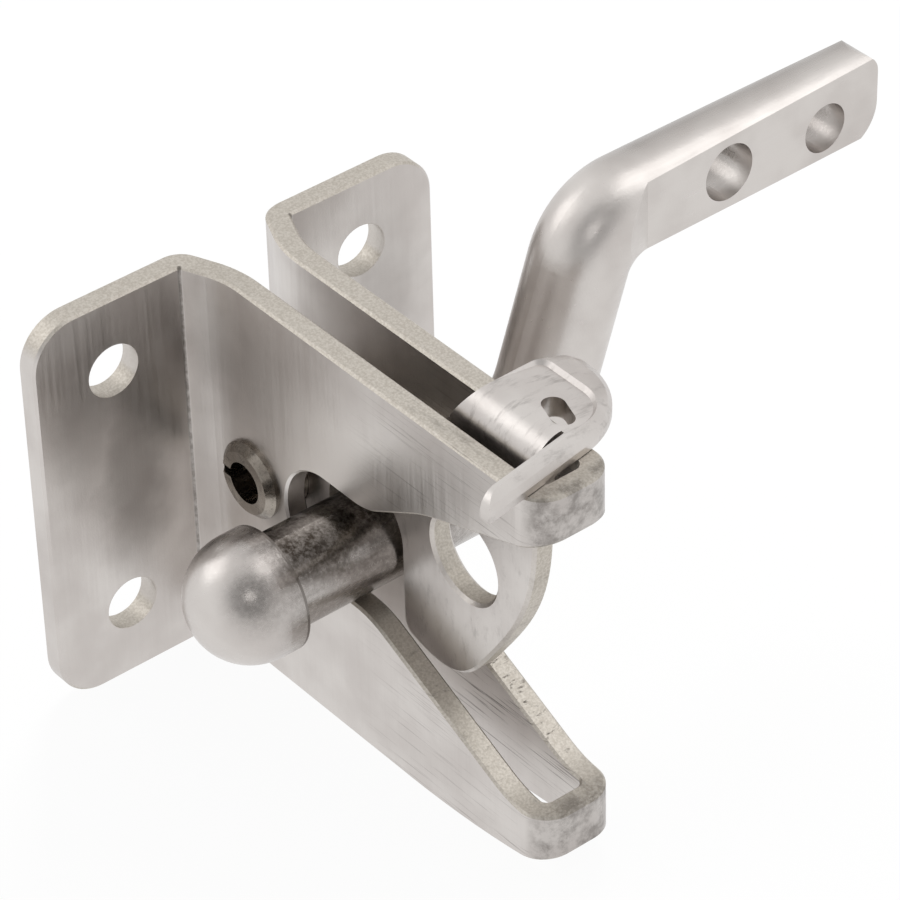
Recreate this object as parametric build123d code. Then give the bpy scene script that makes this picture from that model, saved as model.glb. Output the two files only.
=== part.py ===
"""Automatic gate latch in folded stainless sheet, with its swinging pawl and the gate's striker bar.

Frame: +X points away from the post, +Y runs along the striker's pin to its mounting arm, +Z is up.
The origin is the centre of the four screw holes, on the post face. Heights in the sizes below are
measured from the bracket's lower edge, and the finished pieces are moved down to the origin.
All sizes are in millimetres.
"""
from build123d import *
import math
import os

# Sheet bracket: overall sizes
sheet = 3.0                 # thickness of the folded sheet
bracket_height = 54.7       # width of the strip, which stands upright
flange_width = 21.0         # from the cheek's fold to the flange's free edge
flange_corner = 6.0         # rounding of the flanges' free corners
fold_gap = 16.2             # between the two folds, over the cheeks' outer faces
cheek_gap = 5.6             # free space between the cheeks, where the pawl swings
neck_length = 5.4           # length over which the cheeks close in from the folds
fold_radius = 0.5           # inner radius of the flange folds
neck_radius = 12.0          # easing of the cheeks where they become parallel
nose_reach = 64.3           # from the post face to the front of the noses
nose_radius = 4.0           # outer radius of the nose corners
sheet_edge = 0.3            # easing of the cut edges

# Sheet bracket: fork seen from the side
throat_back = 18.2          # blind end of the throat, from the post face
throat_height = 15.3        # clear height at the blind end
throat_level = 28.2         # middle of the blind end above the lower edge
throat_straight = 7.6       # length of the parallel part before the throat opens out
roof_crown = 1.5            # how far the upper arm's edge bows above a straight line
upper_nose_height = 6.2     # sheet left at the upper nose
lower_nose_height = 6.3     # sheet left at the lower nose
lower_nose_rise = 2.4       # how far the lower edge sweeps up to the nose
sweep_start = 40.0          # where the lower edge starts to sweep up
nose_flat = 6.0             # level stretch of the lower arm behind its nose

# Screw holes in the flanges
screw_hole = 7.0
screw_rows = 34.6           # between the two rows, one above the other
screw_columns = 36.4        # between the left and right holes
screw_row_low = 10.2        # height of the lower row

# Pivot: slotted roll pin, pressed into the cheeks
pivot_x = 12.0
pivot_z = 28.0
pin_diameter = 10.0
pin_wall = 2.3
pin_slot = 1.2
pin_proud = 1.4             # how far each end stands out of its cheek
pin_chamfer = 0.9
pivot_clearance = 0.05      # radial, between the pin and the pawl

# Pawl plate
pawl_sheet = 3.0
eye_radius = 9.0            # of the plate round the pivot
bridge_x = 38.0             # where the back of the plate turns up to the thumb tab
bridge_top = 45.5
bridge_radius = 9.0
bridge_ease = 2.0
hook_face = 34.7            # rear face of the hook, which holds the striker
hook_foot = 16.3            # lowest point of the hook
hook_corner = 2.2
lobe_radius = 20.5          # sweep of the hook's nose, which the striker rides under
pawl_front = 58.4           # front edge of the plate below the thumb tab
padlock_hole = 11.4
padlock_x = 45.8
padlock_z = 34.3
pawl_edge = 0.4             # easing of the plate's edges

# Thumb tab, bent over the right cheek, with the stop that rests on the upper nose
tab_bend = 1.0              # inner radius of the bend
tab_back = 46.6
tab_heel = 44.1             # back edge of the plate where the bend starts
tab_reach = 14.4            # end of the tab from the middle plane
tab_front = 61.0            # foot of the front edge at the middle plane
tab_skew = 9.6              # degrees that the front edge runs out of square
tab_corner = 11.6
tab_back_corner = 1.6
crest_end = 4.6             # from the tab's end to the crest of its rim
crest_front = 1.1           # from the front edge to the crest
crest_corner = 5.0
rim_foot = 0.9              # upright part of the rim below its slope
rim_belly = 0.3             # part of the slope's run taken at half its height
dish_depth = 0.55           # hollow of the thumb rest at the crest of the end
stop_gap = 0.1              # between the tab and the bracket at rest
stop_overhang = 5.6         # past the left cheek
stop_width = 1.7            # front to back
stop_corner = 2.4           # rounding of the stop's upper end
pull_hole_x = 55.3          # oval hole for a pull wire
pull_hole_y = 4.7
pull_slot_length = 5.6
pull_slot_width = 2.8
pull_slot_turn = -19.0      # degrees

# Striker bar
bar_diameter = 12.0
striker_x = 28.0            # middle of the pin, from the post face
striker_z = 26.9
head_diameter = 15.7
head_back = -16.0           # shoulder of the head, from the middle plane
head_collar = 2.6           # straight part between the shoulder and the dome
riser_foot = 22.4           # where the pin's axis meets the riser's axis
riser_lean = 19.4           # degrees from upright
arm_level = 55.8            # axis of the mounting arm above the lower edge
foot_bend = 14.0            # bend radius at the bar's axis
shoulder_bend = 7.5
arm_end = 75.6
flat_start = 33.6           # where the round bar starts to be flattened
flat_run = 4.6              # length of the slope from the round bar to the flats
arm_root_share = 0.633      # thickness over the flats at their start, as a share of the bar
arm_tip_share = 0.45        # the same at the arm's end
upper_corner_share = 0.233  # corner radii of the arm's end, as shares of the bar
lower_corner_share = 0.43
press_spare = 0.05          # how far the press outline stands off the round bar
near_hole = 7.5
far_hole = 6.5
near_hole_y = 51.2
far_hole_y = 66.9
hole_step = 1.0             # how far the far hole lies below the near one

# Shared values worked out from the sizes above
half_gap = cheek_gap / 2
cheek_face = half_gap + sheet
half_span = fold_gap / 2 + flange_width
hole_y = screw_columns / 2
far = 400.0                 # longer than anything here, for through cuts


def side_face(lines):
    """A closed outline drawn in (X, Z), as a face in the plane Y = 0."""
    return Plane.XZ * make_face(lines)


def across(face, low, high):
    """A side-view face made solid from Y = low to Y = high."""
    return extrude(Pos(0, low, 0) * face, amount=high - low, dir=(0, 1, 0))


def bored(solid, x, z, diameter):
    """A round hole along Y."""
    return solid - Pos(x, 0, z) * Rot(90, 0, 0) * Cylinder(diameter / 2, far)


def drilled(solid, y, z, diameter):
    """A round hole along X."""
    return solid - Pos(0, y, z) * Rot(0, 90, 0) * Cylinder(diameter / 2, far)


def strip_plan():
    """The folded strip seen from above: its front faces as one path, thickened inwards."""
    fold = fold_gap / 2
    neck = sheet + neck_length
    front = [
        (sheet, -half_span), (sheet, -fold), (neck, -cheek_face), (nose_reach, -cheek_face),
        (nose_reach, cheek_face), (neck, cheek_face), (sheet, fold), (sheet, half_span),
    ]
    radii = [fold_radius, neck_radius, nose_radius, nose_radius, neck_radius, fold_radius]
    path = FilletPolyline(*front, radius=radii)
    return make_face(offset(path, amount=sheet, side=Side.LEFT))


def fork_outline():
    """The strip's side view: the flange edge, the two arms and the throat between them."""
    end = nose_reach + sheet
    radius = throat_height / 2
    floor = throat_level - radius
    roof = throat_level + radius
    arc_x = throat_back + radius
    open_x = arc_x + throat_straight
    lower_top = lower_nose_rise + lower_nose_height
    upper_low = bracket_height - upper_nose_height
    crown_x = (2 * open_x + nose_reach) / 3
    crown_z = (2 * roof + upper_low) / 3 + roof_crown
    sweep = Spline(
        (sweep_start, 0), (nose_reach, lower_nose_rise), tangents=[(1, 0), (1, 0.2)])
    floor_line = FilletPolyline(
        (end, lower_top), (nose_reach - nose_flat, lower_top), (open_x, floor), (arc_x, floor),
        radius=[neck_radius, neck_radius])
    roof_line = FilletPolyline(
        (arc_x, roof), (open_x, roof), (crown_x, crown_z), (nose_reach, upper_low),
        (end, upper_low), radius=[throat_height / 2, 2 * neck_radius, sheet])
    lines = [
        Line((-sheet, 0), (sweep_start, 0)),
        sweep,
        Line(sweep @ 1, (end, lower_nose_rise)),
        Line((end, lower_nose_rise), (end, lower_top)),
        floor_line,
        ThreePointArc((arc_x, floor), (throat_back, throat_level), (arc_x, roof)),
        roof_line,
        Line((end, upper_low), (end, bracket_height)),
        Line((end, bracket_height), (-sheet, bracket_height)),
        Line((-sheet, bracket_height), (-sheet, 0)),
    ]
    return side_face(lines)


def make_bracket():
    """One strip folded from flange to flange, cut to a fork, eased along its edges and drilled."""
    strip = extrude(strip_plan(), amount=bracket_height)
    fork = strip & across(fork_outline(), -far, far)
    front_view = Plane.YZ * Pos(0, bracket_height / 2) * RectangleRounded(
        2 * half_span, bracket_height, flange_corner)
    bracket = fork & extrude(front_view, amount=far, both=True)
    bracket = chamfer(bracket.edges(), sheet_edge)
    for y in (-hole_y, hole_y):
        for z in (screw_row_low, screw_row_low + screw_rows):
            bracket = drilled(bracket, y, z, screw_hole)
    return bored(bracket, pivot_x, pivot_z, pin_diameter)


def make_pivot_pin():
    """A rolled spring pin: a tube with a slot along it and eased ends."""
    radius = pin_diameter / 2
    length = 2 * (cheek_face + pin_proud)
    tube = Cylinder(radius, length)
    tube = chamfer(tube.edges(), pin_chamfer)
    tube -= Cylinder(radius - pin_wall, length)
    tube -= Pos(-radius, 0, 0) * Box(pin_diameter, pin_slot, length)
    return Pos(pivot_x, 0, pivot_z) * Rot(90, 0, 0) * tube


def pawl_outline():
    """The pawl's flat plate: the bridge over the striker, the hook and the lobe in front of it."""
    top = bracket_height + stop_gap + pawl_sheet - tab_bend - pawl_sheet
    crown = FilletPolyline(
        (pivot_x, pivot_z + eye_radius), (bridge_x, bridge_top), (tab_heel, top),
        (tab_back, top), radius=[bridge_radius, bridge_ease])
    lobe = Spline(
        (pawl_front, padlock_z + lobe_radius / 2), (pawl_front - 3.2, padlock_z - 3.6),
        (padlock_x + 3.5, hook_foot + 5.1), (hook_face + 4.8, hook_foot - 0.5),
        tangents=[(0, -1), (-1, 0.12)])
    lobe_low = hook_foot + sheet / 3
    lines = [
        Line((pivot_x, pivot_z), (pivot_x, pivot_z + eye_radius)),
        crown,
        Line((tab_back, top), (pawl_front, top)),
        Line((pawl_front, top), lobe @ 0),
        lobe,
        Line(lobe @ 1, (hook_face, lobe_low)),
        Line((hook_face, lobe_low), (hook_face, pivot_z)),
        Line((hook_face, pivot_z), (pivot_x, pivot_z)),
    ]
    return make_face(lines)


def make_pawl_plate():
    """The flat part of the pawl, with the notch that clears the striker's pin."""
    notch_width = hook_face - pivot_x - eye_radius
    notch_x = hook_face - notch_width / 2
    plate = pawl_outline()
    corner = plate.vertices().sort_by_distance((hook_face, hook_foot, 0))[0]
    plate = fillet(corner, hook_corner)
    plate += Pos(pivot_x, pivot_z) * Circle(eye_radius)
    plate -= Pos(notch_x, pivot_z + 1) * Circle(notch_width / 2)
    plate -= Pos(notch_x, 0) * Rectangle(notch_width, 2 * pivot_z + 2)
    plate -= Pos(padlock_x, padlock_z) * Circle(padlock_hole / 2)
    plate = across(Plane.XZ * plate, -pawl_sheet / 2, pawl_sheet / 2)
    rims = plate.edges().filter_by(lambda e: abs(e.center().Y) > pawl_edge)
    lobe = rims.filter_by(lambda e: e.center().X > padlock_x and e.center().Z < bracket_height - sheet)
    hole = rims.filter_by(GeomType.CIRCLE).filter_by(
        lambda e: abs(2 * e.radius - padlock_hole) < pivot_clearance)
    plate = chamfer(lobe + hole, pawl_edge)
    return bored(plate, pivot_x, pivot_z, pin_diameter + 2 * pivot_clearance)


def tab_outline(front_inset, end_inset, corner):
    """The tab and its stop seen from above, drawn in from the foot by two insets."""
    skew = math.tan(math.radians(tab_skew))
    front = tab_front - front_inset
    end = tab_reach - end_inset
    stop_end = -cheek_face - stop_overhang + front_inset
    back = tab_front - stop_width
    root = pawl_sheet / 2 + tab_bend
    points = [
        (tab_back, root), (tab_back, end), (front - skew * end, end),
        (front - skew * stop_end, stop_end), (back - skew * stop_end, stop_end),
        (back - skew * root, root),
    ]
    face = make_face(Polyline(*points, close=True))
    end_corner = face.vertices().sort_by_distance((points[2][0], points[2][1], 0))[0]
    face = fillet(end_corner, corner)
    back_corner = face.vertices().sort_by_distance((points[1][0], points[1][1], 0))[0]
    return fillet(back_corner, tab_back_corner)


def rim_step(low_part, high_part, low_z, high_z):
    """One step of the rim's rounded side, between two parts of the way to its crest."""
    rings = []
    for part, z in ((low_part, low_z), (high_part, high_z)):
        corner = tab_corner + part * (crest_corner - tab_corner)
        rings.append(Pos(0, 0, z) * tab_outline(part * crest_front, part * crest_end, corner))
    return loft(rings)


def make_bend():
    """The plate's top edge curled over to the right, with its back edge on a slant."""
    low = bracket_height + stop_gap
    high = low + pawl_sheet
    outer = tab_bend + pawl_sheet
    bend_y = -pawl_sheet / 2 + outer
    bend_z = high - outer
    side = math.sqrt(0.5)
    section = Plane.YZ * make_face([
        Line((-pawl_sheet / 2, bend_z - sheet), (-pawl_sheet / 2, bend_z)),
        ThreePointArc(
            (-pawl_sheet / 2, bend_z), (bend_y - outer * side, bend_z + outer * side),
            (bend_y, high)),
        Line((bend_y, high), (bend_y, low)),
        ThreePointArc(
            (bend_y, low), (bend_y - tab_bend * side, bend_z + tab_bend * side),
            (pawl_sheet / 2, bend_z)),
        Line((pawl_sheet / 2, bend_z), (pawl_sheet / 2, bend_z - sheet)),
        Line((pawl_sheet / 2, bend_z - sheet), (-pawl_sheet / 2, bend_z - sheet)),
    ])
    curl = Pos(tab_heel, 0, 0) * extrude(section, amount=pawl_front - tab_heel)
    slant = make_face(Polyline(
        (tab_heel, bend_z - sheet), (tab_heel, bend_z), (tab_back, high), (pawl_front, high),
        (pawl_front, bend_z - sheet), close=True))
    return curl & across(Plane.XZ * slant, -outer, outer)


def tab_front_view():
    """The tab seen from the front, with the upper end of its stop rounded off."""
    low = bracket_height + stop_gap
    high = low + pawl_sheet
    end = -cheek_face - stop_overhang
    face = make_face(Polyline(
        (end, low - sheet), (end, high), (2 * tab_reach, high), (2 * tab_reach, low - sheet),
        close=True))
    corner = face.vertices().sort_by_distance((end, high, 0))[0]
    return Plane.YZ * fillet(corner, stop_corner)


def make_thumb_tab():
    """The thumb rest: a rounded rim, a shallow dish inside it and the stop across the nose."""
    low = bracket_height + stop_gap
    high = low + pawl_sheet
    foot_z = low + rim_foot
    belly_z = (foot_z + high) / 2
    foot = Pos(0, 0, low) * extrude(tab_outline(0, 0, tab_corner), amount=rim_foot)
    tab = foot + rim_step(0, rim_belly, foot_z, belly_z) + rim_step(rim_belly, 1, belly_z, high)
    bend_y = pawl_sheet / 2 + tab_bend
    right_side = Pos(tab_front, bend_y + far / 2) * Rectangle(far, far)
    dish_face = tab_outline(crest_front, crest_end, crest_corner) & right_side
    well = Pos(0, 0, high) * extrude(dish_face, amount=-dish_depth, taper=45)
    ramp = Plane.YZ * make_face(Polyline(
        (bend_y, high), (tab_reach - crest_end, high - dish_depth),
        (tab_reach, high - dish_depth), (tab_reach, high + sheet), (bend_y, high + sheet),
        close=True))
    tab -= well & extrude(ramp, amount=far, both=True)
    return tab & extrude(tab_front_view(), amount=far, both=True)


def make_pawl():
    """Plate, bend and thumb tab, which are one pressed piece."""
    pawl = make_pawl_plate() + make_bend() + make_thumb_tab()
    slot = Pos(pull_hole_x, pull_hole_y, bracket_height) * Rot(0, 0, pull_slot_turn) * SlotOverall(
        pull_slot_length, pull_slot_width)
    return pawl - extrude(slot, amount=pawl_sheet * 3, both=True)


def flats_plan():
    """The bar seen from above once its mounting arm has been pressed flat on both sides."""
    bar = bar_diameter / 2 + press_spare
    root = bar_diameter * arm_root_share / 2
    tip = bar_diameter * arm_tip_share / 2
    start = head_back - head_diameter
    points = [
        (0, start), (bar, start), (bar, flat_start), (root, flat_start + flat_run),
        (tip, arm_end), (0, arm_end),
    ]
    half = make_face(Polyline(*points, close=True))
    return Pos(striker_x, 0) * (half + mirror(half, about=Plane.YZ))


def arm_front():
    """The bar seen from the front, cut off at its end with two rounded corners."""
    top = arm_level + bar_diameter / 2 + press_spare
    low = arm_level - bar_diameter / 2 - press_spare
    start = head_back - head_diameter
    face = make_face(Polyline(
        (start, top), (arm_end, top), (arm_end, low), (arm_end - bar_diameter, low),
        (arm_end - bar_diameter, -bar_diameter), (start, -bar_diameter), close=True))
    upper = face.vertices().sort_by_distance((arm_end, top, 0))[0]
    face = fillet(upper, bar_diameter * upper_corner_share)
    lower = face.vertices().sort_by_distance((arm_end, low, 0))[0]
    return Plane.YZ * fillet(lower, bar_diameter * lower_corner_share)


def make_head():
    """The domed head, turned about the pin's axis."""
    radius = head_diameter / 2
    collar_end = head_back - head_collar
    edge_x = striker_x + radius
    dome_tip = collar_end - radius
    side = math.sqrt(0.5)
    profile = make_face([
        Line((striker_x, head_back), (edge_x, head_back)),
        Line((edge_x, head_back), (edge_x, collar_end)),
        ThreePointArc(
            (edge_x, collar_end), (striker_x + radius * side, collar_end - radius * side),
            (striker_x, dome_tip)),
        Line((striker_x, dome_tip), (striker_x, head_back)),
    ])
    return revolve(Pos(0, 0, striker_z) * profile, Axis((striker_x, 0, striker_z), (0, 1, 0)))


def make_striker():
    """The gate's bar: domed head, pin, riser and flattened mounting arm, all one bar."""
    lean = math.tan(math.radians(riser_lean))
    riser_top = riser_foot + lean * (arm_level - striker_z)
    axis = Plane.YZ.offset(striker_x) * FilletPolyline(
        (head_back, striker_z), (riser_foot, striker_z), (riser_top, arm_level),
        (arm_end, arm_level), radius=[foot_bend, shoulder_bend])
    bar = sweep(Plane(origin=axis @ 0, z_dir=axis % 0) * Circle(bar_diameter / 2), path=axis)
    bar = bar & extrude(flats_plan(), amount=far, both=True)
    bar = bar & extrude(arm_front(), amount=far, both=True)
    striker = bar + make_head()
    striker = drilled(striker, near_hole_y, arm_level, near_hole)
    return drilled(striker, far_hole_y, arm_level - hole_step, far_hole)


os.makedirs("parts", exist_ok=True)
pieces = {
    "bracket": make_bracket(),
    "pivot_pin": make_pivot_pin(),
    "pawl": make_pawl(),
    "striker": make_striker(),
}
to_origin = Pos(0, 0, -(screw_row_low + screw_rows / 2))
for name, piece in pieces.items():
    export_step(to_origin * piece, f"parts/{name}.step")
    print(name, round(piece.volume), [round(v, 2) for v in piece.bounding_box().size])
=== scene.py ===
"""Finishes and studio for the automatic gate latch.

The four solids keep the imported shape. Each gets its own stainless steel finish, worked out from
Object coordinates, and the stage adds the floor, the lamps, the studio around them and the camera.
"""
import math

import bpy
import numpy as np
from mathutils import Matrix, Vector


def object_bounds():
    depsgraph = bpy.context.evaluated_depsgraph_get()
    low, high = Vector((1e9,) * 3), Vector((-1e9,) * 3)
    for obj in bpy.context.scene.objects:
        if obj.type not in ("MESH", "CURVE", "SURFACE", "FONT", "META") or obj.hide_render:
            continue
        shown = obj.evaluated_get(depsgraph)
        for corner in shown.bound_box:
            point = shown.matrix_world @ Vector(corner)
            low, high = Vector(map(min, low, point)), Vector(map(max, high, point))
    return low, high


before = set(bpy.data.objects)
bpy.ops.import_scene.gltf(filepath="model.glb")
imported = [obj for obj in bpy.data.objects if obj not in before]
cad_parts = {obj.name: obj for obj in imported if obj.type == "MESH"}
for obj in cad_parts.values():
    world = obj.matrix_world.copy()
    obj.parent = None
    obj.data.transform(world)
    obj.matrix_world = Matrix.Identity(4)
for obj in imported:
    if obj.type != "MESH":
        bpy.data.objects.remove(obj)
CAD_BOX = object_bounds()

bl_info = {
    "name": "Gate Latch Finishes",
    "version": (1, 0, 0),
    "blender": (4, 5, 0),
    "location": "View3D > Sidebar > Gate Latch",
    "description": "Tumbled stainless finishes and a plain studio for an automatic gate latch",
    "category": "Material",
}

MM = 0.001
PICTURE = 900               # width and height of the picture, in pixels
SENSOR = 36.0               # width of the camera's sensor, in millimetres
NEAREST = 0.01              # nearest distance that the camera sees, in metres

# How far the uneven outlines of the sheet's patches wander, in millimetres
WANDER = 5.0
# Soft dark patches on the sheet, mostly painted shade, shadow and dark reflection: middle and reach
# along X, Y and Z in millimetres, and strength
SHEET_DARK_PATCHES = (
    ((3.5, -16.5, 1.0), (3.0, 8.0, 19.0), 0.5),         # middle of the left flange
    ((3.5, -23.0, 10.0), (3.0, 6.0, 14.0), 0.3),        # free edge of the left flange
    ((9.0, -5.0, 18.0), (13.0, 6.0, 12.0), 0.3),        # left cheek above the fold
    ((15.5, -5.0, -0.5), (6.5, 5.0, 6.5), 0.6),         # beside the roll pin
    ((3.5, 21.0, 9.0), (3.0, 9.0, 19.0), 0.25),         # middle of the right flange
)
# Soft patches of painted light on the cheeks: middle and reach along X, Y and Z in millimetres, and
# strength
SHEET_PAINTED_LIGHT = (
    ((38.0, -5.5, 9.5), (32.0, 6.0, 19.0), 1.5),        # left cheek over the striker's pin
    ((7.0, 11.5, 9.5), (9.0, 8.0, 26.0), 1.5),          # neck of the right cheek
)
SCRAPE = ((49.0, 3.0, -14.0), (17.0, 3.0, 13.0), 2.0)   # inside the right cheek's lower arm
# A soft patch of painted dark reflection on the head: middle, reach along X, Y and Z in
# millimetres, and strength
HEAD_PAINTED_REFLECTION = ((33.6, -20.6, 4.0), (6.5, 6.5, 6.5), 0.45)    # left side of the head
# Soft square lamps: name, place, point that it faces and width, all in metres
LAMPS = (
    ("window", (-0.45, 0.5, 0.75), (0.03, -0.02, 0.0), 0.35),
    ("top", (0.25, 0.55, 1.1), (0.03, 0.02, 0.0), 0.8),
    ("left", (-0.7, -0.45, 0.62), (0.03, -0.01, 0.0), 0.6),
    ("spark", (0.64, -0.45, 0.63), (0.03, -0.01, 0.0), 0.2),
)


def linear(hex_colour):
    """An sRGB hex colour as linear red, green, blue and alpha."""
    channels = [int(hex_colour[i:i + 2], 16) / 255 for i in (1, 3, 5)]
    curve = [c / 12.92 if c <= 0.04045 else ((c + 0.055) / 1.055) ** 2.4 for c in channels]
    return (*curve, 1.0)


def add_node(tree, kind, inputs=None, **settings):
    """Adds a node, sets its fields, then sets each input or links it to a socket or a node."""
    node = tree.nodes.new(kind)
    for field, value in settings.items():
        setattr(node, field, value)
    for key, value in (inputs or {}).items():
        if isinstance(value, bpy.types.Node):
            value = value.outputs[0]
        if isinstance(value, bpy.types.NodeSocket):
            tree.links.new(value, node.inputs[key])
        else:
            node.inputs[key].default_value = value
    return node


def new_finish(name):
    """An empty material with the place and the facing direction of each surface point."""
    material = bpy.data.materials.new(name)
    material.use_nodes = True
    tree = material.node_tree
    tree.nodes.clear()
    space = add_node(tree, "ShaderNodeTexCoord")
    return material, tree, space.outputs["Object"], space.outputs["Normal"]


def stainless(tree, point, look, cut, marks, shine=0.0):
    """Tumbled stainless: a soft grey metal with cloudy shine, duller and warmer where it was cut.

    cut is 1 on sheared edges and drilled walls, marks is 1 where dirt, wear, a scratch
    or painted shade has darkened the metal, and shine is 1 where the face is painted lighter as
    painted light. Colour, roughness and bump come from the same three patterns: clouds from
    rolling and tumbling, the fine grain of the tumbling stones and the drawn lines of the strip
    or bar.
    """
    wide = add_node(tree, "ShaderNodeTexNoise", {
        "Vector": point, "Scale": 1 / look.cloud_size, "Detail": 3.0, "Roughness": 0.5})
    clouds = add_node(tree, "ShaderNodeMapRange", {
        "Value": wide, "From Min": 0.3, "From Max": 0.7}, interpolation_type="SMOOTHSTEP")
    # The real grain is too fine for the picture, so it is drawn at about twice its size.
    fine = add_node(tree, "ShaderNodeTexNoise", {
        "Vector": point, "Scale": 1 / look.grain_size, "Detail": 3.0, "Roughness": 0.6})
    grain = add_node(tree, "ShaderNodeMapRange", {
        "Value": fine, "From Min": 0.3, "From Max": 0.7}, interpolation_type="SMOOTHSTEP")
    along = add_node(tree, "ShaderNodeVectorMath", {
        0: point, 1: [size * MM for size in look.line_size]}, operation="DIVIDE")
    lines = add_node(tree, "ShaderNodeTexNoise", {
        "Vector": along, "Scale": 1.0, "Detail": 2.0, "Roughness": 0.5})
    face = add_node(tree, "ShaderNodeMix", {
        0: clouds, 6: with_alpha(look.shade), 7: with_alpha(look.face)}, data_type="RGBA")
    edge = add_node(tree, "ShaderNodeMix", {
        0: grain, 6: with_alpha(look.cut_shade), 7: with_alpha(look.cut_face)}, data_type="RGBA")
    # Painted light: the face turns lighter where shine is 1.
    lightened = add_node(tree, "ShaderNodeMix", {
        0: shine, 6: face.outputs[2], 7: with_alpha(look.painted_light_colour)}, data_type="RGBA")
    bare = add_node(tree, "ShaderNodeMix", {
        0: cut, 6: lightened.outputs[2], 7: edge.outputs[2]}, data_type="RGBA")
    colour = add_node(tree, "ShaderNodeMix", {
        0: marks, 6: bare.outputs[2], 7: with_alpha(look.mark)}, data_type="RGBA")
    streaks = add_node(tree, "ShaderNodeMapRange", {
        "Value": lines, "From Min": 0.25, "From Max": 0.75,
        "To Min": look.roughness - look.roughness_spread,
        "To Max": look.roughness + look.roughness_spread})
    sheared = add_node(tree, "ShaderNodeMath", {
        0: cut, 1: look.cut_roughness, 2: streaks}, operation="MULTIPLY_ADD")
    rough = add_node(tree, "ShaderNodeMath", {
        0: marks, 1: look.mark_roughness, 2: sheared}, operation="MULTIPLY_ADD")
    height = add_node(tree, "ShaderNodeMath", {
        0: lines, 1: look.line_depth, 2: fine}, operation="MULTIPLY_ADD")
    bump = add_node(tree, "ShaderNodeBump", {
        "Height": height, "Strength": look.bump, "Distance": look.grain_size})
    shader = add_node(tree, "ShaderNodeBsdfPrincipled", {
        "Base Color": colour.outputs[2], "Metallic": 1.0, "Roughness": rough, "Normal": bump})
    add_node(tree, "ShaderNodeOutputMaterial", {"Surface": shader})


def soft_patch(tree, point, patch, wander=0.0):
    """A soft patch, full near its middle and gone at its reach.

    The patch gives its middle and reach in millimetres and its strength. wander is how far, in
    millimetres, the given points have been pushed along Y and Z to make its outline uneven.
    """
    (x, y, z), reach, strength = patch
    middle = (x, y + wander / 2, z + wander / 2)
    aside = add_node(tree, "ShaderNodeVectorMath", {
        0: point, 1: [m * MM for m in middle]}, operation="SUBTRACT")
    share = add_node(tree, "ShaderNodeVectorMath", {
        0: aside, 1: [r * MM for r in reach]}, operation="DIVIDE")
    far = add_node(tree, "ShaderNodeVectorMath", {0: share}, operation="LENGTH")
    return add_node(tree, "ShaderNodeMapRange", {
        "Value": far.outputs["Value"], "From Min": 1.0, "From Max": 0.2, "To Max": strength},
        interpolation_type="SMOOTHSTEP")


def with_alpha(colour):
    """A colour property, which is linear already, as red, green, blue and alpha."""
    return (*colour, 1.0)


def size_prop(name, description, millimetres):
    """A length that the sidebar shows as a distance."""
    return bpy.props.FloatProperty(
        name=name, description=description, default=millimetres * MM, unit="LENGTH",
        subtype="DISTANCE", precision=5)


def millimetre_prop(name, description, sizes):
    """Three lengths in millimetres, one along each axis."""
    return bpy.props.FloatVectorProperty(
        name=name, description=description, size=3, min=0.0, default=sizes)


def share_prop(name, description, default, most=1.0):
    """A plain number from nought upwards."""
    return bpy.props.FloatProperty(
        name=name, description=description, default=default, min=0.0, max=most)


def colour_prop(name, description, hex_colour):
    """A colour given as an sRGB hex value."""
    return bpy.props.FloatVectorProperty(
        name=name, description=description, subtype="COLOR", size=3, min=0.0, max=1.0,
        default=linear(hex_colour)[:3])


def rubbed_prop(default):
    """How much rougher or smoother the steel is where it is marked."""
    return bpy.props.FloatProperty(
        name="Mark roughness", description="Added where marked, less than nought where rubbed",
        default=default)


class SteelLook:
    """The sizes and colours that every stainless finish of the latch has."""
    face: colour_prop("Face", "Light parts of the tumbled face", "#D2CDC9")
    shade: colour_prop("Shade", "Duller clouds of the tumbled face", "#C4BEBA")
    # The colour that the patches of painted light lighten the face towards
    painted_light_colour: colour_prop("Polish", "Face where the stones rubbed it lighter", "#E3DFDB")
    cut_face: colour_prop("Cut face", "Light grains of a sheared edge", "#CCC6BD")
    cut_shade: colour_prop("Cut shade", "Dark grains of a sheared edge", "#B6AFA5")
    # Colour of dirt, wear and scratches, and also of the painted shade, shadow and dark reflections
    mark: colour_prop("Mark", "Dirt, wear and scratches", "#4A433D")
    cloud_size: size_prop("Cloud size", "Width of the soft clouds", 9.0)
    grain_size: size_prop("Grain size", "Width of the tumbling grain", 0.3)
    line_size: millimetre_prop("Line size", "Of the drawn lines", (0.35, 0.35, 10.5))
    line_depth: share_prop("Line depth", "Height of the lines beside that of the grain", 0.6, 4.0)
    roughness: share_prop("Roughness", "Of the tumbled face", 0.33)
    roughness_spread: share_prop("Roughness spread", "Change from line to line", 0.05)
    cut_roughness: share_prop("Cut roughness", "Added on sheared edges", 0.15)
    mark_roughness: rubbed_prop(0.05)
    bump: share_prop("Bump", "Strength of the grain and lines", 0.045)


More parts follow.
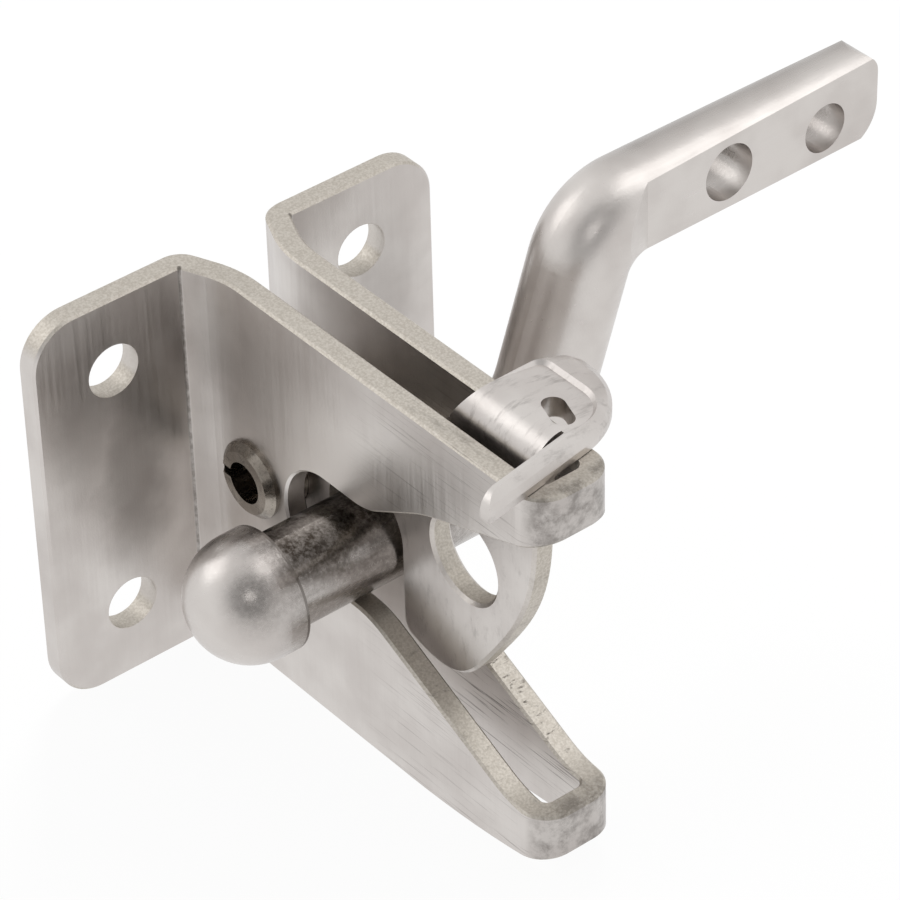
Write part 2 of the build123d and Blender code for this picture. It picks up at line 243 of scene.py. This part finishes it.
class BracketLook(SteelLook, bpy.types.PropertyGroup):
    """Finish of the folded sheet."""
    hole_y: size_prop("Hole across", "From the middle to a screw hole", 18.2)
    hole_z: size_prop("Hole up", "From the origin to a row of holes", 17.3)
    hole_reach: size_prop("Hole reach", "From a screw hole's middle to just past its wall", 3.6)
    wall_cut: share_prop("Wall cut", "Share of the sheared look on a hole's wall", 0.35)
    fold_y: size_prop("Fold across", "From the middle to the fold's crease", 8.1)
    sheet: size_prop("Sheet", "Thickness of the sheet", 3.0)
    crease: size_prop("Crease", "Half the width of the fold's crease", 0.16)
    scratch_x: size_prop("Scratch out", "Where the cheeks start to be scratched", 30.0)
    nose_x: size_prop("Nose out", "Where the stained front of the noses starts", 61.0)
    nose_ramp: size_prop("Nose ramp", "Length over which the nose's stain sets in", 2.0)
    mottle: size_prop("Mottle", "Width of the nose's dark patches", 3.0)
    fleck: size_prop("Fleck", "Width of the gaps in the fold's crease", 0.8)
    scratch_ramp: size_prop("Scratch ramp", "Length over which the scratches set in", 12.0)
    scratch_mark: share_prop("Scratch mark", "Darkness of the scratches", 0.4)
    scratch_sizes: millimetre_prop(
        "Scratch sizes", "Length, depth into the sheet and width", (14.0, 2.0, 0.3))
    scratch_slant: bpy.props.FloatProperty(
        name="Scratch slant", description="Fall of the scratches towards the nose",
        default=math.radians(-28), subtype="ANGLE")
    patch_size: size_prop("Patch size", "Width of the bays in a patch's uneven outline", 6.0)


class PawlLook(SteelLook, bpy.types.PropertyGroup):
    """Finish of the swinging plate."""
    bend_z: size_prop("Bend height", "Where the plate starts to bend over", 26.0)
    edge_ramp: size_prop("Edge ramp", "Length over which the sheared edges end there", 1.0)
    tab_ramp: size_prop("Tab ramp", "Length over which the tab's wear sets in there", 2.0)
    streak_sizes: millimetre_prop("Streak sizes", "Of the worn streaks", (1.2, 5.0, 3.0))
    plate_mark: share_prop("Plate mark", "Darkness of the streaks on the plate", 0.25)
    tab_mark: share_prop("Tab mark", "Darkness of the streaks on the thumb tab", 0.42)


class PinLook(SteelLook, bpy.types.PropertyGroup):
    """Finish of the roll pin."""
    face: colour_prop("Face", "Light parts of the rolled spring steel", "#A8A198")
    shade: colour_prop("Shade", "Dark clouds of the rolled spring steel", "#857D74")
    cloud_size: size_prop("Cloud size", "Width of the soft clouds", 3.0)
    line_size: millimetre_prop("Line size", "Of the drawn lines", (0.35, 5.6, 0.35))
    roughness: share_prop("Roughness", "Of the rolled face", 0.24)
    smear_size: size_prop("Smear size", "Width of the dark smears", 1.5)
    smear_mark: share_prop("Smear mark", "Darkness of the smears", 0.7)


class StrikerLook(SteelLook, bpy.types.PropertyGroup):
    """Finish of the gate's bar."""
    line_size: millimetre_prop("Line size", "Of the drawn lines", (0.35, 7.0, 0.35))
    roughness: share_prop("Roughness", "Of the tumbled face", 0.32)
    mark_roughness: rubbed_prop(-0.14)
    # The pin's darkened part is partly wear and partly painted shade, with painted dark reflection
    # on its top
    pin_end: size_prop("Pin end", "Where the worn part of the pin ends", 14.0)
    pin_ramp: size_prop("Pin ramp", "Length over which the pin's wear ends there", 6.0)
    head_back: size_prop("Head back", "Shoulder of the head, left of the middle", 16.0)
    head_ramp: size_prop("Head ramp", "Length of the wear's soft end on the head", 7.0)
    shank_ramp: size_prop("Shank ramp", "Length of the wear's soft end behind the head", 2.0)
    smear_sizes: millimetre_prop("Smear sizes", "Of the pin's dark smears", (3.0, 12.0, 3.0))
    # The ring behind the head is painted shade
    ring: size_prop("Ring", "Half the width of the dirty ring behind the head", 0.35)
    ring_shade: share_prop("Ring mark", "Darkness of the dirty ring", 0.75)
    arm_start: size_prop("Arm start", "Where the flat mounting arm starts", 33.0)
    arm_ramp: size_prop("Arm ramp", "Length over which its dull back sets in", 8.0)
    arm_face: size_prop("Arm face", "How far out the arm's duller back reaches", 29.5)
    arm_fade: size_prop("Arm fade", "Depth over which the arm gets duller", 3.0)
    arm_mark: share_prop("Arm mark", "Darkness of the arm's back", 0.4)
    pit_size: size_prop("Pit size", "Width of the forging pits", 0.6)


class StageLook(bpy.types.PropertyGroup):
    """Floor, lights and camera."""
    floor_colour: colour_prop("Floor", "Colour of the floor", "#F2F2F1")
    floor_drop: size_prop("Floor drop", "From the part's lowest point to the floor", 0.5)
    floor_radius: size_prop("Floor radius", "Of the round floor", 3000.0)
    floor_white: share_prop("Floor white", "Share of plain white that the camera sees", 0.95)
    sky: share_prop("Sky", "Brightness that the world gives to matt surfaces", 0.5, 4.0)
    room: share_prop("Room", "Brightness of the room behind the camera", 0.5)
    room_start: share_prop("Room start", "Cosine at which it starts to darken", 0.7)
    room_end: share_prop("Room end", "Cosine at which it is darkest", 0.93)
    window: share_prop("Window", "Lamp behind the part that lights the floor, in watts", 8.0, 99.0)
    top: share_prop("Top", "Upper right lamp, in watts", 1.8, 99.0)
    left: share_prop("Left", "Upper left lamp, in watts", 1.0, 99.0)
    spark: share_prop("Spark", "Small lamp by the camera, in watts", 0.25, 99.0)
    azimuth: bpy.props.FloatProperty(
        name="Azimuth", description="Camera's direction seen from above, from +X towards -Y",
        default=math.radians(38.29), subtype="ANGLE")
    elevation: bpy.props.FloatProperty(
        name="Elevation", description="Camera's height above the part",
        default=math.radians(37.75), subtype="ANGLE")
    roll: bpy.props.FloatProperty(
        name="Roll", description="Camera's turn about its own line of sight",
        default=math.radians(-1.63), subtype="ANGLE")
    distance: size_prop("Distance", "From the part's origin to the camera", 590.93)
    aside: size_prop("Aside", "Camera's move to its right", 25.54)
    above: size_prop("Above", "Camera's move upwards", 17.59)
    origin_height: size_prop(
        "Origin height", "From the bracket's lower edge to the origin", 27.5)
    focal_pixels: bpy.props.FloatProperty(
        name="Focal length", description="In pixels of the picture", default=4801.04)


def give(node_name, material):
    """Puts a finish on every material slot of a CAD node."""
    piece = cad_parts.get(node_name)
    if piece is None:
        raise RuntimeError(f"the packed model has no node named {node_name}")
    if not piece.material_slots:
        piece.data.materials.append(material)
    for slot in piece.material_slots:
        slot.material = material


class LATCH_OT_finish_bracket(bpy.types.Operator):
    """Give the folded sheet its tumbled stainless finish"""
    bl_idname = "latch.finish_bracket"
    bl_label = "Finish bracket"

    def execute(self, context):
        look = context.scene.latch_bracket
        # A satin grey face with warmer, duller sheared edges, soft dark patches that are mostly
        # painted shade, shadow and dark reflection, and two patches of painted light.
        material, tree, point, facing = new_finish("tumbled stainless sheet")
        near = add_node(tree, "ShaderNodeVectorMath", {0: point}, operation="ABSOLUTE")
        # The strip's cut edges face up or down, and a screw hole's wall lies inside a circle.
        turned = add_node(tree, "ShaderNodeVectorMath", {0: facing}, operation="ABSOLUTE")
        tilt = add_node(tree, "ShaderNodeSeparateXYZ", {"Vector": turned})
        upright = add_node(tree, "ShaderNodeMapRange", {
            "Value": tilt.outputs["Z"], "From Min": 0.35, "From Max": 0.6})
        from_hole = add_node(tree, "ShaderNodeVectorMath", {
            0: near, 1: (0, look.hole_y, look.hole_z)}, operation="SUBTRACT")
        round_hole = add_node(tree, "ShaderNodeVectorMath", {
            0: from_hole, 1: (0, 1, 1)}, operation="MULTIPLY")
        reach = add_node(tree, "ShaderNodeVectorMath", {0: round_hole}, operation="LENGTH")
        wall = add_node(tree, "ShaderNodeMath", {
            0: reach.outputs["Value"], 1: look.hole_reach}, operation="LESS_THAN")
        bright_wall = add_node(tree, "ShaderNodeMath", {
            0: wall, 1: look.wall_cut}, operation="MULTIPLY")
        cut = add_node(tree, "ShaderNodeMath", {0: upright, 1: bright_wall}, operation="MAXIMUM")
        # A thin, broken dark line of painted shade runs along the fold's crease where the flange
        # meets the cheek.
        from_fold = add_node(tree, "ShaderNodeVectorMath", {
            0: near, 1: (look.sheet, look.fold_y, 0)}, operation="SUBTRACT")
        round_fold = add_node(tree, "ShaderNodeVectorMath", {
            0: from_fold, 1: (1, 1, 0)}, operation="MULTIPLY")
        off_fold = add_node(tree, "ShaderNodeVectorMath", {0: round_fold}, operation="LENGTH")
        in_fold = add_node(tree, "ShaderNodeMapRange", {
            "Value": off_fold.outputs["Value"], "From Min": 2 * look.crease,
            "From Max": look.crease}, interpolation_type="SMOOTHSTEP")
        flecks = add_node(tree, "ShaderNodeTexNoise", {
            "Vector": point, "Scale": 1 / look.fleck, "Detail": 3.0, "Roughness": 0.6})
        broken = add_node(tree, "ShaderNodeMapRange", {
            "Value": flecks, "From Min": 0.3, "From Max": 0.6, "To Min": 0.35, "To Max": 0.7})
        crease = add_node(tree, "ShaderNodeMath", {0: in_fold, 1: broken}, operation="MULTIPLY")
        # The front of the noses is stained in dark mottled patches.
        spot = add_node(tree, "ShaderNodeSeparateXYZ", {"Vector": point})
        front = add_node(tree, "ShaderNodeMapRange", {
            "Value": spot.outputs["X"], "From Min": look.nose_x,
            "From Max": look.nose_x + look.nose_ramp})
        mottle = add_node(tree, "ShaderNodeTexNoise", {
            "Vector": point, "Scale": 1 / look.mottle, "Detail": 6.0, "Roughness": 0.75})
        patch = add_node(tree, "ShaderNodeMapRange", {
            "Value": mottle, "From Min": 0.4, "From Max": 0.66, "To Min": 0.16, "To Max": 0.6},
            interpolation_type="SMOOTHSTEP")
        nose = add_node(tree, "ShaderNodeMath", {0: front, 1: patch}, operation="MULTIPLY")
        worst = add_node(tree, "ShaderNodeMath", {0: crease, 1: nose}, operation="MAXIMUM")
        # The cheeks are scratched by the pawl and the striker, in thin lines on a slant.
        slant = add_node(tree, "ShaderNodeMapping", {
            "Vector": point, "Rotation": (0, look.scratch_slant, 0),
            "Scale": [1 / (size * MM) for size in look.scratch_sizes]})
        hairs = add_node(tree, "ShaderNodeTexNoise", {
            "Vector": slant, "Scale": 1.0, "Detail": 3.0, "Roughness": 0.7})
        thin = add_node(tree, "ShaderNodeMapRange", {
            "Value": hairs, "From Min": 0.57, "From Max": 0.7, "To Max": look.scratch_mark})
        forward = add_node(tree, "ShaderNodeMapRange", {
            "Value": spot.outputs["X"], "From Min": look.scratch_x,
            "From Max": look.scratch_x + look.scratch_ramp})
        # They are deepest inside the right cheek's lower arm.
        scraped = soft_patch(tree, point, SCRAPE)
        depth = add_node(tree, "ShaderNodeMath", {0: forward, 1: scraped})
        scratches = add_node(tree, "ShaderNodeMath", {0: thin, 1: depth}, operation="MULTIPLY")
        marks = add_node(tree, "ShaderNodeMath", {0: worst, 1: scratches}, operation="MAXIMUM")
        # Soft dark patches are painted on: painted dark reflection on the left flange, painted
        # shade on the left cheek above the fold, a painted shadow beside the roll pin and a darker
        # patch on the right flange. Two places on the cheeks are painted lighter as painted light.
        drift = add_node(tree, "ShaderNodeTexNoise", {
            "Vector": point, "Scale": 1 / look.patch_size, "Detail": 3.0, "Roughness": 0.6})
        uneven = add_node(tree, "ShaderNodeVectorMath", {
            0: drift.outputs["Color"], 1: (0, WANDER * MM, WANDER * MM), 2: point},
            operation="MULTIPLY_ADD")
        for patch in SHEET_DARK_PATCHES:
            darkening = soft_patch(tree, uneven, patch, WANDER)
            marks = add_node(tree, "ShaderNodeMath", {0: marks, 1: darkening}, operation="MAXIMUM")
        shine = 0.0
        for patch in SHEET_PAINTED_LIGHT:
            light = soft_patch(tree, uneven, patch, WANDER)
            shine = add_node(tree, "ShaderNodeMath", {0: shine, 1: light}, operation="MAXIMUM",
                             use_clamp=True)
        stainless(tree, point, look, cut, marks, shine)
        give("bracket", material)
        return {"FINISHED"}


class LATCH_OT_finish_pawl(bpy.types.Operator):
    """Give the swinging plate its tumbled stainless finish"""
    bl_idname = "latch.finish_pawl"
    bl_label = "Finish pawl"

    def execute(self, context):
        look = context.scene.latch_pawl
        # The sheet's satin grey, with sheared edges and streaks where thumbs have worn the tab.
        material, tree, point, facing = new_finish("tumbled stainless plate")
        # Below the bend the plate's edges, which don't face left or right, are sheared.
        turned = add_node(tree, "ShaderNodeVectorMath", {0: facing}, operation="ABSOLUTE")
        tilt = add_node(tree, "ShaderNodeSeparateXYZ", {"Vector": turned})
        edgewise = add_node(tree, "ShaderNodeMapRange", {
            "Value": tilt.outputs["Y"], "From Min": 0.8, "From Max": 0.5})
        spot = add_node(tree, "ShaderNodeSeparateXYZ", {"Vector": point})
        plate = add_node(tree, "ShaderNodeMapRange", {
            "Value": spot.outputs["Z"], "From Min": look.bend_z,
            "From Max": look.bend_z - look.edge_ramp})
        cut = add_node(tree, "ShaderNodeMath", {0: edgewise, 1: plate}, operation="MULTIPLY")
        # The thumb tab is rubbed in streaks across it, and the plate only here and there.
        drawn = add_node(tree, "ShaderNodeVectorMath", {
            0: point, 1: [size * MM for size in look.streak_sizes]}, operation="DIVIDE")
        smear = add_node(tree, "ShaderNodeTexNoise", {
            "Vector": drawn, "Scale": 1.0, "Detail": 5.0, "Roughness": 0.7})
        tab = add_node(tree, "ShaderNodeMapRange", {
            "Value": spot.outputs["Z"], "From Min": look.bend_z - look.tab_ramp,
            "From Max": look.bend_z, "To Min": look.plate_mark, "To Max": look.tab_mark})
        marks = add_node(tree, "ShaderNodeMapRange", {
            "Value": smear, "From Min": 0.5, "From Max": 0.76, "To Max": tab},
            interpolation_type="SMOOTHSTEP")
        stainless(tree, point, look, cut, marks)
        give("pawl", material)
        return {"FINISHED"}


class LATCH_OT_finish_pin(bpy.types.Operator):
    """Give the roll pin its darker spring steel finish"""
    bl_idname = "latch.finish_pin"
    bl_label = "Finish roll pin"

    def execute(self, context):
        look = context.scene.latch_pin
        # A darker, shinier grey than the sheet's, with blackish smears from pressing it in.
        material, tree, point, _ = new_finish("rolled spring stainless")
        smear = add_node(tree, "ShaderNodeTexNoise", {
            "Vector": point, "Scale": 1 / look.smear_size, "Detail": 5.0, "Roughness": 0.7})
        marks = add_node(tree, "ShaderNodeMapRange", {
            "Value": smear, "From Min": 0.45, "From Max": 0.7, "To Max": look.smear_mark},
            interpolation_type="SMOOTHSTEP")
        stainless(tree, point, look, 0.0, marks)
        give("pivot_pin", material)
        return {"FINISHED"}


class LATCH_OT_finish_striker(bpy.types.Operator):
    """Give the gate's bar its forged and tumbled finish"""
    bl_idname = "latch.finish_striker"
    bl_label = "Finish striker"

    def execute(self, context):
        look = context.scene.latch_striker
        # A bright satin dome and arm, and between them a finely pitted pin, made dark partly by
        # wear and partly by painted shade and painted dark reflection.
        material, tree, point, facing = new_finish("tumbled stainless bar")
        spot = add_node(tree, "ShaderNodeSeparateXYZ", {"Vector": point})
        # The pin is darker between its head and the riser, partly from wear and partly as painted
        # shade that deepens away from the head, and the darkening fades out on the head.
        on_pin = add_node(tree, "ShaderNodeMapRange", {
            "Value": spot.outputs["Y"], "From Min": look.pin_end,
            "From Max": look.pin_end - look.pin_ramp})
        off_head = add_node(tree, "ShaderNodeMapRange", {
            "Value": spot.outputs["Y"], "From Min": -look.head_back - look.head_ramp,
            "From Max": look.shank_ramp - look.head_back}, interpolation_type="SMOOTHSTEP")
        worn = add_node(tree, "ShaderNodeMath", {0: on_pin, 1: off_head}, operation="MULTIPLY")
        drawn = add_node(tree, "ShaderNodeVectorMath", {
            0: point, 1: [size * MM for size in look.smear_sizes]}, operation="DIVIDE")
        smear = add_node(tree, "ShaderNodeTexNoise", {
            "Vector": drawn, "Scale": 1.0, "Detail": 3.0, "Roughness": 0.5})
        dark = add_node(tree, "ShaderNodeMapRange", {
            "Value": smear, "From Min": 0.3, "From Max": 0.7, "To Min": 0.55, "To Max": 0.95},
            interpolation_type="SMOOTHSTEP")
        # Its top is the darkest, as painted dark reflection.
        tilt = add_node(tree, "ShaderNodeSeparateXYZ", {"Vector": facing})
        painted_top_reflection = add_node(tree, "ShaderNodeMapRange", {
            "Value": tilt.outputs["Z"], "From Min": 0.1, "From Max": 0.8, "To Min": 0.7,
            "To Max": 1.1})
        rubbed = add_node(tree, "ShaderNodeMath", {0: worn, 1: painted_top_reflection}, operation="MULTIPLY")
        shank = add_node(tree, "ShaderNodeMath", {0: rubbed, 1: dark}, operation="MULTIPLY")
        # A dull spot of painted dark reflection lies on the left side of the head.
        head_reflection = soft_patch(tree, point, HEAD_PAINTED_REFLECTION)
        wear = add_node(tree, "ShaderNodeMath", {0: shank, 1: head_reflection}, operation="MAXIMUM")
        pits = add_node(tree, "ShaderNodeTexNoise", {
            "Vector": point, "Scale": 1 / look.pit_size, "Detail": 5.0, "Roughness": 0.75})
        pitted = add_node(tree, "ShaderNodeMapRange", {
            "Value": pits, "From Min": 0.42, "From Max": 0.66, "To Min": 1.0, "To Max": 0.55})
        speckled = add_node(tree, "ShaderNodeMath", {0: pitted, 1: wear}, operation="MULTIPLY")
        # A thin dark ring of painted shade lies in the corner behind the head's shoulder.
        behind = add_node(tree, "ShaderNodeMath", {
            0: spot.outputs["Y"], 1: -look.head_back, 2: look.ring}, operation="COMPARE")
        ring = add_node(tree, "ShaderNodeMath", {
            0: behind, 1: look.ring_shade}, operation="MULTIPLY")
        shank_marks = add_node(tree, "ShaderNodeMath", {0: speckled, 1: ring}, operation="MAXIMUM")
        # The arm is duller towards its back, which lies against the gate.
        on_arm = add_node(tree, "ShaderNodeMapRange", {
            "Value": spot.outputs["Y"], "From Min": look.arm_start,
            "From Max": look.arm_start + look.arm_ramp})
        behind_arm = add_node(tree, "ShaderNodeMapRange", {
            "Value": spot.outputs["X"], "From Min": look.arm_face,
            "From Max": look.arm_face - look.arm_fade, "To Max": look.arm_mark})
        dull = add_node(tree, "ShaderNodeMath", {0: on_arm, 1: behind_arm}, operation="MULTIPLY")
        marks = add_node(tree, "ShaderNodeMath", {0: shank_marks, 1: dull}, operation="MAXIMUM")
        stainless(tree, point, look, 0.0, marks)
        give("striker", material)
        return {"FINISHED"}


def new_mesh(name, points, faces):
    """A mesh object at the origin from whole arrays of corners and faces."""
    mesh = bpy.data.meshes.new(name)
    mesh.from_pydata(points.tolist(), [], faces)
    mesh.update()
    piece = bpy.data.objects.new(name, mesh)
    bpy.context.scene.collection.objects.link(piece)
    return piece


def disc(name, radius, height, rings=24, sectors=96):
    """A level round floor: point = (r cos a, r sin a, height), for r on rings and a on sectors."""
    spread = radius * np.linspace(0, 1, rings) ** 2
    turn = np.linspace(0, 2 * math.pi, sectors, endpoint=False)
    r, a = np.meshgrid(spread[1:], turn, indexing="ij")
    points = np.stack([r * np.cos(a), r * np.sin(a), np.full_like(r, height)], axis=-1)
    points = np.vstack([points.reshape(-1, 3), [[0, 0, height]]])
    ring, sector = np.meshgrid(np.arange(rings - 2), np.arange(sectors), indexing="ij")
    after = (sector + 1) % sectors
    quads = np.stack([
        ring * sectors + sector, (ring + 1) * sectors + sector, (ring + 1) * sectors + after,
        ring * sectors + after], axis=-1).reshape(-1, 4)
    first = np.arange(sectors)
    hub = np.full(sectors, len(points) - 1)
    wedges = np.stack([hub, first, (first + 1) % sectors], axis=-1)
    return new_mesh(name, points, quads.tolist() + wedges.tolist())


def add_lamp(name, place, target, width, watts):
    """A soft square lamp that looks at a point."""
    lamp = bpy.data.lights.new(name, "AREA")
    lamp.shape = "SQUARE"
    lamp.size = width
    lamp.energy = watts
    holder = bpy.data.objects.new(name, lamp)
    holder.location = place
    aim = Vector(target) - Vector(place)
    holder.rotation_euler = aim.to_track_quat("-Z", "Y").to_euler()
    bpy.context.scene.collection.objects.link(holder)
    return holder


class LATCH_OT_build_stage(bpy.types.Operator):
    """Add the floor, the soft lamps, the white surround and the camera"""
    bl_idname = "latch.build_stage"
    bl_label = "Build stage"

    def execute(self, context):
        look = context.scene.latch_stage
        floor = disc("studio_floor", look.floor_radius, CAD_BOX[0][2] - look.floor_drop)
        material, tree, *_ = new_finish("matt white paper")
        # Mostly plain white to the camera, and the rest keeps the latch's faint shadow.
        path = add_node(tree, "ShaderNodeLightPath")
        share = add_node(tree, "ShaderNodeMath", {
            0: path.outputs["Is Camera Ray"], 1: look.floor_white}, operation="MULTIPLY")
        paper = add_node(tree, "ShaderNodeBsdfDiffuse", {"Color": with_alpha(look.floor_colour)})
        white = add_node(tree, "ShaderNodeEmission", {"Color": (1, 1, 1, 1), "Strength": 1.0})
        sheet = add_node(tree, "ShaderNodeMixShader", {0: share, 1: paper, 2: white})
        add_node(tree, "ShaderNodeOutputMaterial", {"Surface": sheet})
        floor.data.materials.append(material)
        # The steel mirrors the bright studio below the table's edge, not the floor.
        floor.visible_glossy = False
        build_world(look)
        for name, place, target, width in LAMPS:
            lamp = add_lamp(name, place, target, width, getattr(look, name))
            # The window only lights the floor, and the steel doesn't mirror it.
            lamp.visible_glossy = name != "window"
        place_camera(look)
        context.scene.view_settings.view_transform = "Standard"
        return {"FINISHED"}


def build_world(look):
    """A white studio, darker behind the camera, where the photographer stands."""
    world = bpy.data.worlds.new("white studio")
    bpy.context.scene.world = world
    world.use_nodes = True
    tree = world.node_tree
    tree.nodes.clear()
    way = add_node(tree, "ShaderNodeTexCoord")
    side = add_node(tree, "ShaderNodeVectorMath", {
        0: way.outputs["Generated"], 1: camera_way(look)}, operation="DOT_PRODUCT")
    room = add_node(tree, "ShaderNodeMapRange", {
        "Value": side.outputs["Value"], "From Min": look.room_start, "From Max": look.room_end,
        "To Min": 1.0, "To Max": look.room}, interpolation_type="SMOOTHSTEP")
    path = add_node(tree, "ShaderNodeLightPath")
    mirrored = add_node(tree, "ShaderNodeMix", {
        0: path.outputs["Is Glossy Ray"], 2: look.sky, 3: room}, data_type="FLOAT")
    strength = add_node(tree, "ShaderNodeMix", {
        0: path.outputs["Is Camera Ray"], 2: mirrored, 3: 1.0}, data_type="FLOAT")
    back = add_node(tree, "ShaderNodeBackground", {"Color": (1, 1, 1, 1), "Strength": strength})
    add_node(tree, "ShaderNodeOutputWorld", {"Surface": back})


def camera_way(look):
    """The direction from the part to the camera."""
    level = math.cos(look.elevation)
    return Vector((
        level * math.cos(look.azimuth), -level * math.sin(look.azimuth), math.sin(look.elevation)))


def place_camera(look):
    """The camera of the photograph, from its azimuth, elevation, roll, distance and shifts."""
    toward = camera_way(look)
    level = Vector((math.sin(look.azimuth), math.cos(look.azimuth), 0))
    upright = toward.cross(level)
    cr, sr = math.cos(look.roll), math.sin(look.roll)
    right = level * cr + upright * sr
    up = upright * cr - level * sr
    spot = right * look.aside + up * look.above + toward * look.distance
    spot.z -= look.origin_height
    data = bpy.data.cameras.new("photo camera")
    data.sensor_width = SENSOR
    data.lens = look.focal_pixels / PICTURE * SENSOR
    data.clip_start = NEAREST
    camera = bpy.data.objects.new("photo camera", data)
    rotation = Matrix((right, up, toward)).transposed().to_4x4()
    camera.matrix_world = Matrix.Translation(spot) @ rotation
    bpy.context.scene.collection.objects.link(camera)
    bpy.context.scene.camera = camera


class LATCH_PT_panel(bpy.types.Panel):
    """Sidebar panel that lists the latch's finishes and its stage"""
    bl_label = "Gate Latch"
    bl_idname = "LATCH_PT_panel"
    bl_space_type = "VIEW_3D"
    bl_region_type = "UI"
    bl_category = "Gate Latch"

    def draw(self, context):
        for operator in STEPS:
            self.layout.operator(operator.bl_idname)


STEPS = (
    LATCH_OT_finish_bracket, LATCH_OT_finish_pawl, LATCH_OT_finish_pin, LATCH_OT_finish_striker,
    LATCH_OT_build_stage,
)
LOOKS = {
    "latch_bracket": BracketLook, "latch_pawl": PawlLook, "latch_pin": PinLook,
    "latch_striker": StrikerLook, "latch_stage": StageLook,
}


def register():
    """Registers the looks, the operators and the panel."""
    for name, look in LOOKS.items():
        bpy.utils.register_class(look)
        setattr(bpy.types.Scene, name, bpy.props.PointerProperty(type=look))
    for operator in STEPS:
        bpy.utils.register_class(operator)
    bpy.utils.register_class(LATCH_PT_panel)


def unregister():
    """Takes everything that register added away again."""
    bpy.utils.unregister_class(LATCH_PT_panel)
    for operator in reversed(STEPS):
        bpy.utils.unregister_class(operator)
    for name, look in LOOKS.items():
        delattr(bpy.types.Scene, name)
        bpy.utils.unregister_class(look)


def main():
    """Registers the add-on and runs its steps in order."""
    register()
    for operator in STEPS:
        group, name = operator.bl_idname.split(".")
        getattr(getattr(bpy.ops, group), name)()


if __name__ == "__main__":
    main()
